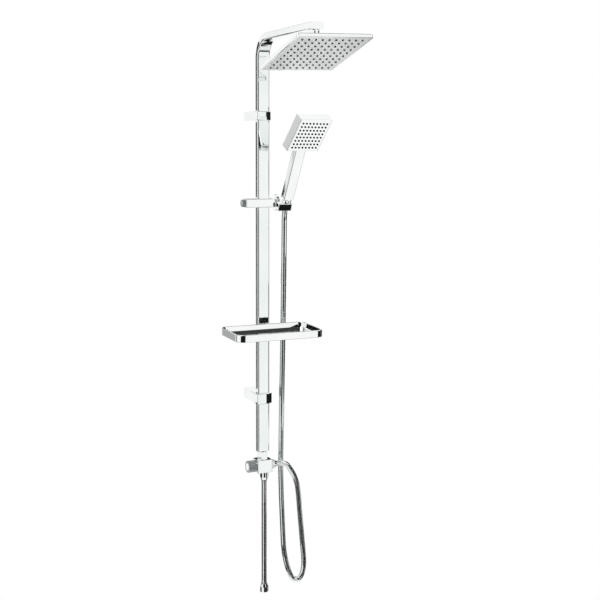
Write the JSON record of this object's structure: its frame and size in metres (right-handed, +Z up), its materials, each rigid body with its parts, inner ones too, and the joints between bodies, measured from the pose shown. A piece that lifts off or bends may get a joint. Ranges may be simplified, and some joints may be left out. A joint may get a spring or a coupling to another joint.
{
  "type": "rainfall shower column",
  "caption": "Wall-hung shower column: flat bent tube with a tilting square rose, sliding handset holder, clamped soap tray, diverter and ribbed hoses.",
  "frame": {"origin": "centre of the lower bracket's wall plate, on the wall", "axes": "+Z up the column, +Y into the wall, +X along the wall to the right as seen by someone facing the wall"},
  "size_m": [0.2635, 0.4965, 1.5022],
  "materials": {
    "chrome": "polished chrome plate on brass",
    "plated_plastic": "chrome-plated moulding",
    "spray_plate": "bright spray plate",
    "tray_plate": "bright plate",
    "hose_steel": "bright wound steel",
    "brass": "machined brass",
    "silicone": "soft dark grey silicone",
    "washer_rubber": "black rubber",
    "nylon": "natural nylon",
    "steel": "zinc-plated steel"
  },
  "bodies": {
    "column": {"column_tube": "chrome", "arm_end_cap": "chrome", "arm_outlet": "chrome", "lower_bracket_sleeve": "chrome", "lower_bracket_bush": "nylon", "lower_wall_plate": "steel", "lower_grub_screw": "steel", "upper_bracket_sleeve": "chrome", "upper_bracket_bush": "nylon", "upper_wall_plate": "steel", "upper_grub_screw": "steel", "column_foot": "chrome", "union_nut": "chrome", "union_washer": "washer_rubber", "diverter_body": "chrome", "diverter_bonnet": "brass", "hose_lower_nut": "chrome", "hose_lower_washer": "washer_rubber", "hose_main": "hose_steel", "inlet_upper_nut": "chrome", "inlet_upper_washer": "washer_rubber", "inlet_ferrules": "steel", "inlet_hose": "hose_steel", "inlet_end_washer": "washer_rubber"},
    "head_swivel": {"swivel_ball": "chrome", "swivel_washer": "washer_rubber"},
    "head_collar": {"ball_collar": "chrome", "ball_seal": "washer_rubber"},
    "head": {"head_back_shell": "plated_plastic", "head_face_plate": "spray_plate", "head_nozzle_mat": "silicone", "flow_regulator": "nylon"},
    "slider": {"slider_body": "plated_plastic", "slider_liner": "nylon", "brake_pad": "nylon", "friction_washer": "nylon", "pivot_bolt": "steel", "hose_top": "hose_steel"},
    "lock": {"lock_knob": "plated_plastic", "lock_screw": "steel"},
    "holder": {"handset_holder": "plated_plastic", "hose_end": "hose_steel"},
    "hose_nut": {"hose_cone": "plated_plastic", "hose_upper_washer": "washer_rubber"},
    "handset": {"handset_body": "plated_plastic", "handset_face_plate": "spray_plate", "handset_nozzle_mat": "silicone", "handset_insert": "chrome"},
    "tray": {"tray_frame": "plated_plastic", "tray_floor": "tray_plate", "tray_clamp": "chrome", "tray_liner": "nylon", "tray_screws": "steel", "tray_set_screw": "steel"},
    "diverter_valve": {"diverter_core": "brass", "spindle_seals": "washer_rubber", "diverter_knob": "plated_plastic", "knob_screw": "steel", "knob_cap": "plated_plastic"},
    "inlet_nut": {"inlet_end_nut": "chrome"}
  },
  "joints": [
    {"name": "head_spin", "type": "hinge", "parent": "column", "child": "head_swivel", "pos_m": [0, -0.386, 0.911], "axis": [0, 0, 1], "continuous": true},
    {"name": "head_tilt", "type": "hinge", "parent": "head_swivel", "child": "head_collar", "pos_m": [0, -0.386, 0.911], "axis": [0.982, 0.1891, 0], "range_deg": [0, 36.4]},
    {"name": "head_turn", "type": "hinge", "parent": "head_collar", "child": "head", "pos_m": [0, -0.386, 0.911], "axis": [-0.0591, 0.3067, 0.95], "continuous": true},
    {"name": "slider_slide", "type": "slide", "parent": "column", "child": "slider", "axis": [0, 0, 1], "range_m": [-0.23, 0.09], "deforming": ["hose_main"]},
    {"name": "lock_turn", "type": "hinge", "parent": "slider", "child": "lock", "pos_m": [0, -0.08, 0.524], "axis": [1, 0, 0], "range_deg": [0, 180]},
    {"name": "holder_tilt", "type": "hinge", "parent": "slider", "child": "holder", "pos_m": [0, -0.08, 0.524], "axis": [1, 0, 0], "range_deg": [-12, 18], "deforming": ["hose_top"]},
    {"name": "handset_lift", "type": "slide", "parent": "holder", "child": "hose_nut", "axis": [0.0789, -0.3712, 0.9252], "range_m": [0, 0.04], "deforming": ["hose_end"]},
    {"name": "handset_turn", "type": "hinge", "parent": "hose_nut", "child": "handset", "pos_m": [0.06, -0.097, 0.524], "axis": [0.0789, -0.3712, 0.9252], "range_deg": [-60, 60]},
    {"name": "tray_slide", "type": "slide", "parent": "column", "child": "tray", "axis": [0, 0, 1], "range_m": [-0.08, 0.06]},
    {"name": "diverter_turn", "type": "hinge", "parent": "column", "child": "diverter_valve", "pos_m": [0, -0.08, -0.18725], "axis": [1, 0, 0], "range_deg": [0, 90]},
    {"name": "inlet_nut_spin", "type": "hinge", "parent": "column", "child": "inlet_nut", "pos_m": [0.004, -0.08, -0.5355], "axis": [0, 0, 1], "continuous": true}
  ]
}
